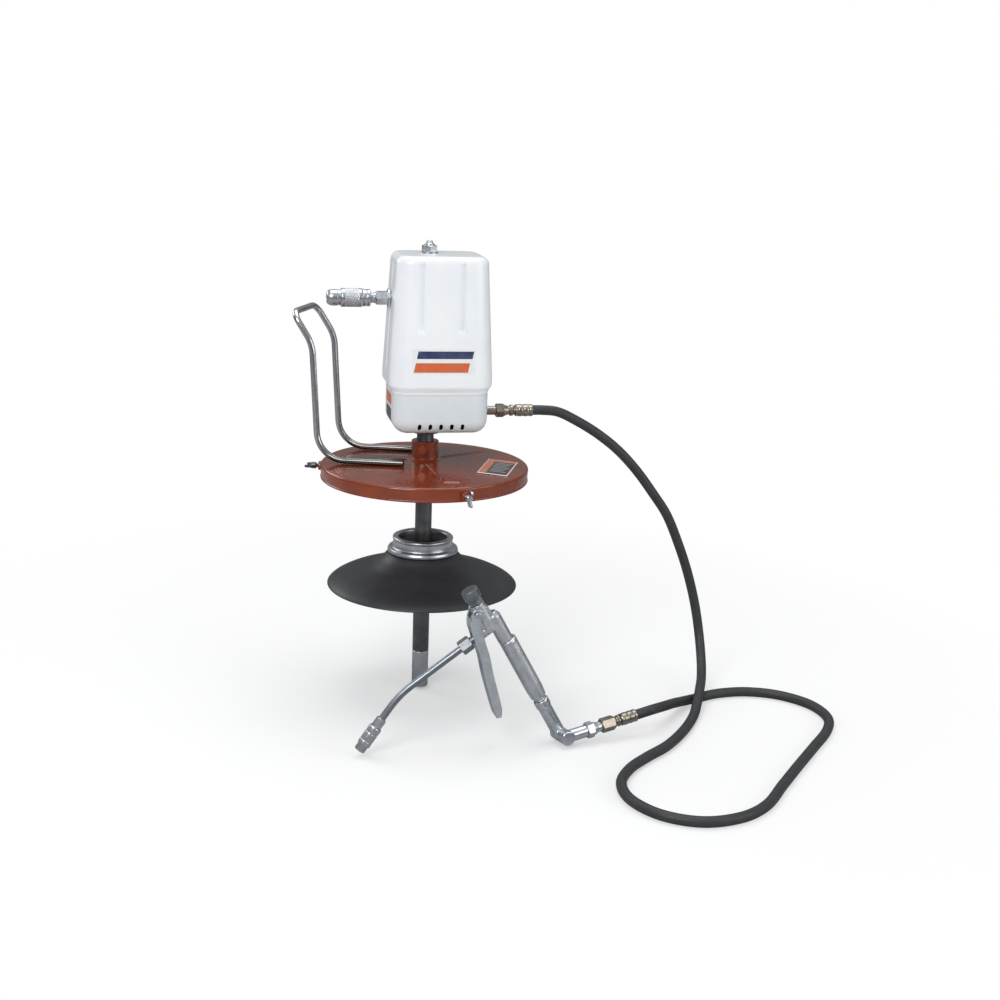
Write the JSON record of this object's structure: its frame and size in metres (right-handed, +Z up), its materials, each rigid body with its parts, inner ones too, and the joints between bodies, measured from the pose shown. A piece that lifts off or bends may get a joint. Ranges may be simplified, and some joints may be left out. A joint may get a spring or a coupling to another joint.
{
  "type": "grease pump",
  "caption": "Air-operated grease pump for a pail, with pail cover, carrying handle, follower plate, delivery hose and a swivelling control valve.",
  "frame": {"origin": "centre of the pail's rim, on the underside of the cover's gasket, on the axis of the pump tube", "axes": "+Z up along the pump tube, -X towards the air inlet, +X towards the grease outlet, -Y to the front"},
  "size_m": [0.8006, 0.6873, 0.6988],
  "materials": {
    "cover_white": "gloss",
    "cover_orange": "gloss",
    "bare_zinc": "satin",
    "dark_steel": "satin",
    "yellow_zinc": "satin",
    "cast_aluminium": "satin",
    "hard_chrome": "gloss",
    "cast_grey": "matte",
    "black_rubber": "matte",
    "hose_black": "satin",
    "brass": "satin",
    "felt": "matte",
    "seal_plastic": "matte",
    "label_film": "gloss"
  },
  "bodies": {
    "pump": {"motor_cover": "cover_white", "lower_housing": "cover_white", "centre_stud": "bare_zinc", "cap_nut": "bare_zinc", "motor_base": "cast_aluminium", "air_cylinder": "hard_chrome", "cylinder_head": "cast_aluminium", "valve_chest": "cast_aluminium", "tie_rods": "bare_zinc", "exhaust_felt": "felt", "inlet_fitting": "bare_zinc", "air_nipple": "bare_zinc", "outlet_body": "cast_grey", "rod_packing": "seal_plastic", "pump_tube": "dark_steel", "foot_valve": "bare_zinc", "pail_cover": "cover_orange", "cover_gasket": "black_rubber", "bail_handle": "bare_zinc", "weld_nuts": "bare_zinc", "hub_screw": "dark_steel", "cover_label": "label_film", "outlet_adapter": "bare_zinc", "pump_hose_end": "yellow_zinc", "hose": "hose_black", "valve_hose_end": "yellow_zinc"},
    "piston": {"air_piston": "cast_aluminium", "piston_ring": "seal_plastic", "piston_rod": "hard_chrome", "plunger": "hard_chrome", "primer_rod": "hard_chrome", "primer_disc": "cast_grey"},
    "upper_ball": {"plunger_ball": "hard_chrome"},
    "check_ring": {"inlet_check": "brass"},
    "trip": {"trip_rod": "hard_chrome"},
    "spool": {"valve_spool": "hard_chrome"},
    "air_coupler": {"coupler_body": "bare_zinc"},
    "lock_sleeve": {"coupler_sleeve": "bare_zinc"},
    "screw_left": {"thumbscrew_left": "dark_steel"},
    "screw_front": {"thumbscrew_front": "bare_zinc"},
    "screw_back": {"thumbscrew_back": "bare_zinc"},
    "follower": {"follower_bell": "black_rubber", "follower_collar": "cast_aluminium", "tube_wiper": "black_rubber"},
    "hose_elbow": {"hose_side_elbow": "bare_zinc"},
    "grip_elbow": {"grip_side_elbow": "bare_zinc", "swivel_nut": "bare_zinc"},
    "valve": {"grip_tube": "cast_aluminium", "valve_body": "cast_aluminium", "valve_cap": "dark_steel", "stem_spring": "bare_zinc", "lever_pin": "bare_zinc", "gun_nut": "bare_zinc", "extension_pipe": "bare_zinc", "tip_nut": "bare_zinc", "grease_coupler": "bare_zinc"},
    "stem": {"valve_stem": "hard_chrome"},
    "lever": {"trigger_lever": "bare_zinc"},
    "jaws": {"coupler_jaws": "bare_zinc"}
  },
  "joints": [
    {"name": "piston_stroke", "type": "slide", "parent": "pump", "child": "piston", "axis": [0, 0, 1], "range_m": [0, 0.076]},
    {"name": "upper_ball_lift", "type": "slide", "parent": "piston", "child": "upper_ball", "axis": [0, 0, 1], "range_m": [0, 0.003]},
    {"name": "check_ring_lift", "type": "slide", "parent": "pump", "child": "check_ring", "axis": [0, 0, 1], "range_m": [0, 0.003]},
    {"name": "trip_lift", "type": "slide", "parent": "pump", "child": "trip", "axis": [0, 0, 1], "range_m": [0, 0.01]},
    {"name": "spool_shift", "type": "slide", "parent": "pump", "child": "spool", "axis": [1, 0, 0], "range_m": [0, 0.008]},
    {"name": "coupler_turn", "type": "hinge", "parent": "pump", "child": "air_coupler", "pos_m": [-0.1, 0, 0.254], "axis": [1, 0, 0], "continuous": true},
    {"name": "sleeve_pull", "type": "slide", "parent": "air_coupler", "child": "lock_sleeve", "axis": [-1, 0, 0], "range_m": [0, 0.0045], "stiffness_N_per_m": 900, "springref_m": -0.002},
    {"name": "screw_left_feed", "type": "slide", "parent": "pump", "child": "screw_left", "axis": [-0.9563, 0.2924, 0], "range_m": [-0.003, 0.01]},
    {"name": "screw_front_feed", "type": "slide", "parent": "pump", "child": "screw_front", "axis": [0.225, -0.9744, 0], "range_m": [-0.003, 0.01]},
    {"name": "screw_back_feed", "type": "slide", "parent": "pump", "child": "screw_back", "axis": [0.7314, 0.682, 0], "range_m": [-0.003, 0.01]},
    {"name": "follower_slide", "type": "slide", "parent": "pump", "child": "follower", "axis": [0, 0, 1], "range_m": [-0.15, 0.1]},
    {"name": "hose_swivel", "type": "hinge", "parent": "pump", "child": "hose_elbow", "pos_m": [0.17511, -0.25225, -0.34485], "axis": [0.9565, 0.2563, 0.1392], "range_deg": [0, 80]},
    {"name": "middle_swivel", "type": "hinge", "parent": "hose_elbow", "child": "grip_elbow", "pos_m": [0.17, -0.232, -0.347], "axis": [0.2435, -0.9645, 0.1024], "range_deg": [-60, 0]},
    {"name": "grip_swivel", "type": "hinge", "parent": "grip_elbow", "child": "valve", "pos_m": [0.17, -0.232, -0.347], "axis": [-0.4884, -0.0307, 0.8721], "range_deg": [-15, 90]},
    {"name": "lever_squeeze", "type": "hinge", "parent": "valve", "child": "lever", "pos_m": [0.03884, -0.24025, -0.15471], "axis": [0.0628, -0.998, 0], "range_deg": [0, 12], "stiffness_Nm_per_rad": 1.5, "springref_deg": -8.59},
    {"name": "stem_lift", "type": "slide", "parent": "valve", "child": "stem", "axis": [-0.4884, -0.0307, 0.8721], "range_m": [0, 0.0015]},
    {"name": "jaw_slide", "type": "slide", "parent": "valve", "child": "jaws", "axis": [0.5753, 0.0362, 0.8171], "range_m": [0, 0.0015], "stiffness_N_per_m": 1500, "springref_m": -0.001}
  ],
  "couplings": [
    {"joint": "spool_shift", "follows": "trip_lift", "ratio": 0.8},
    {"joint": "stem_lift", "follows": "lever_squeeze", "m_per_rad": 0.007}
  ]
}
